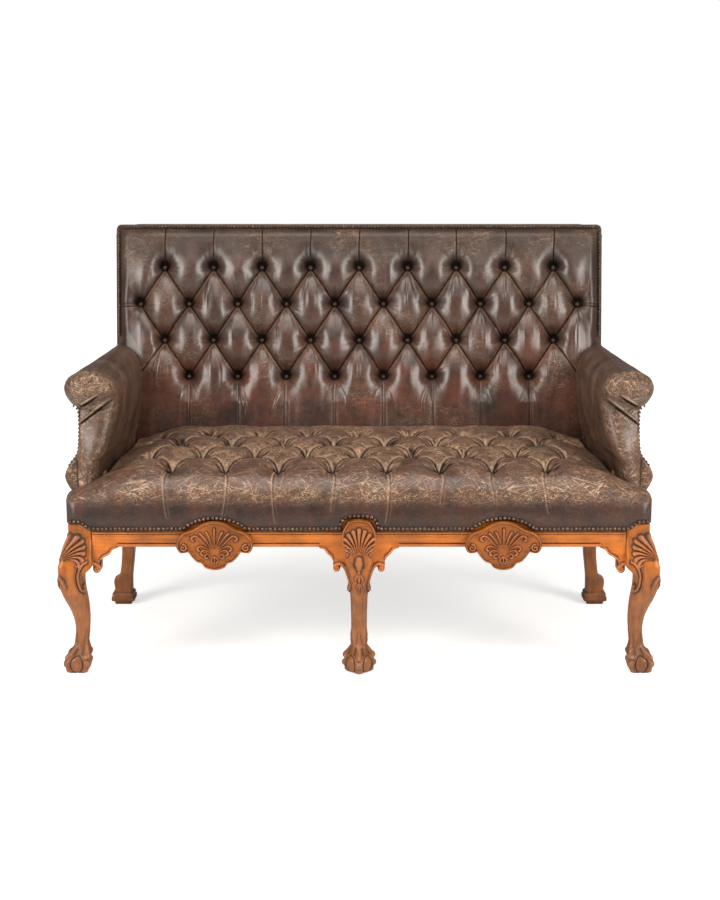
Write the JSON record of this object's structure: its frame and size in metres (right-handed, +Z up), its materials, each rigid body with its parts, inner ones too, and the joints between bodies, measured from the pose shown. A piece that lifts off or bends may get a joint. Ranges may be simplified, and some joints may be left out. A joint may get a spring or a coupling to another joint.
{
  "type": "chesterfield sofa",
  "caption": "Tufted leather settee with a raked buttoned back, fixed buttoned seat and scrolled arms, on carved cabriole front legs with claw-and-ball feet.",
  "frame": {"origin": "on the floor, in the middle of the footprint's bounding box", "axes": "+Z up, the settee faces -Y, +X to the right as seen from the front"},
  "size_m": [1.45, 0.7163, 1.0516],
  "materials": {
    "carved_walnut": "waxed, warm orange-brown, darker in the carving",
    "frame_beech": "sawn and planed, unfinished",
    "worn_leather": "dark brown, worn tan on the high places, softly glossy",
    "leather_gimp": "dark brown strip, close nailed",
    "antique_nail": "domed heads, antiqued dark bronze",
    "hessian": "plain woven jute cloth",
    "jute_webbing": "twilled jute web",
    "dust_cloth": "thin black cambric",
    "spring_steel": "drawn wire, dull"
  },
  "bodies": {
    "root": {"arm_lower_rail_left": "frame_beech", "arm_lower_rail_right": "frame_beech", "arm_pad_left": "worn_leather", "arm_pad_right": "worn_leather", "arm_post_left": "frame_beech", "arm_post_right": "frame_beech", "arm_top_rail_left": "frame_beech", "arm_top_rail_right": "frame_beech", "back_gimp": "leather_gimp", "back_hessian": "hessian", "back_lower_rail": "frame_beech", "back_muntin": "frame_beech", "back_pad": "worn_leather", "back_top_rail": "frame_beech", "back_webbing": "jute_webbing", "corner_block_front_left": "frame_beech", "corner_block_front_right": "frame_beech", "corner_block_rear_left": "frame_beech", "corner_block_rear_right": "frame_beech", "dust_cover": "dust_cloth", "front_leg_centre": "carved_walnut", "front_leg_left": "carved_walnut", "front_leg_right": "carved_walnut", "front_rail": "carved_walnut", "knee_bracket_centre_left": "carved_walnut", "knee_bracket_centre_right": "carved_walnut", "knee_bracket_front_left": "carved_walnut", "knee_bracket_front_right": "carved_walnut", "knee_bracket_side_left": "carved_walnut", "knee_bracket_side_right": "carved_walnut", "knee_plate_centre": "carved_walnut", "medial_rail": "frame_beech", "outside_arm_left": "worn_leather", "outside_arm_right": "worn_leather", "outside_back": "worn_leather", "rear_leg_left": "carved_walnut", "rear_leg_right": "carved_walnut", "rear_rail": "frame_beech", "seat_hessian": "hessian", "seat_pad": "worn_leather", "seat_spring_1": "spring_steel", "seat_spring_10": "spring_steel", "seat_spring_11": "spring_steel", "seat_spring_12": "spring_steel", "seat_spring_2": "spring_steel", "seat_spring_3": "spring_steel", "seat_spring_4": "spring_steel", "seat_spring_5": "spring_steel", "seat_spring_6": "spring_steel", "seat_spring_7": "spring_steel", "seat_spring_8": "spring_steel", "seat_spring_9": "spring_steel", "seat_webbing": "jute_webbing", "shell_panel_left": "carved_walnut", "shell_panel_right": "carved_walnut", "side_rail_left": "carved_walnut", "side_rail_right": "carved_walnut"}
  },
  "joints": []
}
